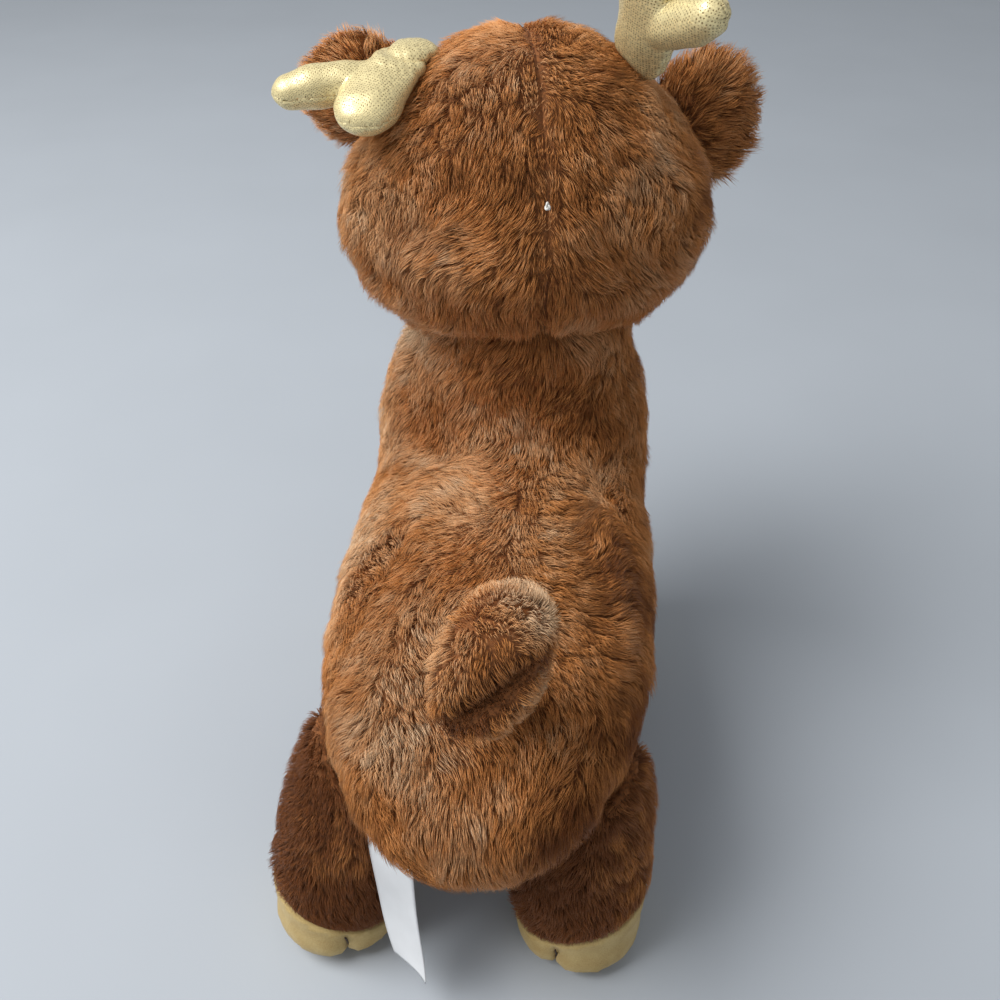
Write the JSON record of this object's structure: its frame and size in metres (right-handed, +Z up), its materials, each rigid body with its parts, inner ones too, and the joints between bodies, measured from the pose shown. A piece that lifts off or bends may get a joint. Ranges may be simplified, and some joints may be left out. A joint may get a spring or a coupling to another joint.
{
  "type": "plush deer toy",
  "caption": "Standing plush deer with brown pile fur, stuffed limbs, beige velour hooves, gold fabric antlers and an upright curled tail.",
  "frame": {"origin": "middle of the bounding box, on the surface that the hooves stand on", "axes": "+Z up, +Y towards the tail, -Y towards the face, +X the deer's left"},
  "size_m": [0.1896, 0.3268, 0.3634],
  "materials": {
    "brown_fur": "medium pile plush, swirled and clumped",
    "beige_velour": "short-nap velour",
    "gold_lame": "metallic gold knit with a fine dotted texture",
    "stuffing": "polyester fibre fill",
    "black_plastic": "polished",
    "white_plastic": "moulded",
    "brown_thread": "twisted sewing thread",
    "white_satin": "satin tape"
  },
  "bodies": {
    "torso": {"torso_left_panel": "brown_fur", "torso_right_panel": "brown_fur", "belly_panel": "brown_fur", "torso_stuffing": "stuffing"},
    "head": {"head_left_panel": "brown_fur", "head_right_panel": "brown_fur", "muzzle_panel": "beige_velour", "head_stuffing": "stuffing", "mouth_stitch": "brown_thread", "eye_left": "black_plastic", "eye_left_washer": "white_plastic", "eye_right": "black_plastic", "eye_right_washer": "white_plastic", "nose": "black_plastic", "nose_washer": "white_plastic"},
    "ear_left": {"ear_left_back": "brown_fur", "ear_left_lining": "beige_velour"},
    "ear_right": {"ear_right_back": "brown_fur", "ear_right_lining": "beige_velour"},
    "antler_left": {"antler_left_front": "gold_lame", "antler_left_back": "gold_lame", "antler_left_stuffing": "stuffing"},
    "antler_right": {"antler_right_front": "gold_lame", "antler_right_back": "gold_lame", "antler_right_stuffing": "stuffing"},
    "leg_rear_left": {"leg_rear_left_fur": "brown_fur", "leg_rear_left_hoof": "beige_velour", "leg_rear_left_stuffing": "stuffing", "leg_rear_left_cleft_stitch": "brown_thread"},
    "leg_rear_right": {"leg_rear_right_fur": "brown_fur", "leg_rear_right_hoof": "beige_velour", "leg_rear_right_stuffing": "stuffing", "leg_rear_right_cleft_stitch": "brown_thread"},
    "leg_front_left": {"leg_front_left_fur": "brown_fur", "leg_front_left_hoof": "beige_velour", "leg_front_left_stuffing": "stuffing", "leg_front_left_cleft_stitch": "brown_thread"},
    "leg_front_right": {"leg_front_right_fur": "brown_fur", "leg_front_right_hoof": "beige_velour", "leg_front_right_stuffing": "stuffing", "leg_front_right_cleft_stitch": "brown_thread"},
    "tail": {"tail_upper_panel": "brown_fur", "tail_lower_panel": "brown_fur", "tail_stuffing": "stuffing"},
    "care_label": {"care_label": "white_satin"}
  },
  "joints": [
    {"name": "head_nod", "type": "hinge", "parent": "torso", "child": "head", "pos_m": [-0.00073, -0.06082, 0.207], "axis": [0.9781, 0.2079, 0], "range_deg": [-6, 6], "stiffness_Nm_per_rad": 4},
    {"name": "ear_left_flap", "type": "hinge", "parent": "head", "child": "ear_left", "pos_m": [0.05328, -0.0828, 0.29981], "axis": [-0.0846, 0.3978, 0.9135], "range_deg": [-8, 8], "stiffness_Nm_per_rad": 0.1},
    {"name": "ear_right_flap", "type": "hinge", "parent": "head", "child": "ear_right", "pos_m": [-0.06369, -0.08749, 0.28843], "axis": [0, 0, 1], "range_deg": [-8, 8], "stiffness_Nm_per_rad": 0.1},
    {"name": "antler_left_bend", "type": "hinge", "parent": "head", "child": "antler_left", "pos_m": [0.03786, -0.06214, 0.31948], "axis": [0.9114, -0.3828, 0.1512], "range_deg": [-8, 8], "stiffness_Nm_per_rad": 0.4},
    {"name": "antler_right_bend", "type": "hinge", "parent": "head", "child": "antler_right", "pos_m": [-0.0405, -0.06793, 0.31775], "axis": [0.6812, -0.6549, 0.3272], "range_deg": [-8, 8], "stiffness_Nm_per_rad": 0.4},
    {"name": "leg_rear_left_swing", "type": "hinge", "parent": "torso", "child": "leg_rear_left", "pos_m": [0.04927, 0.09318, 0.088], "axis": [1, 0, 0], "range_deg": [-8, 8], "stiffness_Nm_per_rad": 4},
    {"name": "leg_rear_right_swing", "type": "hinge", "parent": "torso", "child": "leg_rear_right", "pos_m": [-0.03673, 0.09318, 0.088], "axis": [1, 0, 0], "range_deg": [-8, 8], "stiffness_Nm_per_rad": 4},
    {"name": "leg_front_left_swing", "type": "hinge", "parent": "torso", "child": "leg_front_left", "pos_m": [0.04027, -0.05682, 0.084], "axis": [1, 0, 0], "range_deg": [-8, 8], "stiffness_Nm_per_rad": 4},
    {"name": "leg_front_right_swing", "type": "hinge", "parent": "torso", "child": "leg_front_right", "pos_m": [-0.03173, -0.05682, 0.084], "axis": [1, 0, 0], "range_deg": [-8, 8], "stiffness_Nm_per_rad": 4},
    {"name": "tail_flap", "type": "hinge", "parent": "torso", "child": "tail", "pos_m": [-0.00673, 0.122, 0.15203], "axis": [1, 0, 0], "range_deg": [-10, 10], "stiffness_Nm_per_rad": 0.4},
    {"name": "care_label_swing", "type": "hinge", "parent": "torso", "child": "care_label", "pos_m": [0.03605, 0.13369, 0.08775], "axis": [0.9877, 0, -0.1564], "range_deg": [-8, 40], "stiffness_Nm_per_rad": 0.002}
  ]
}
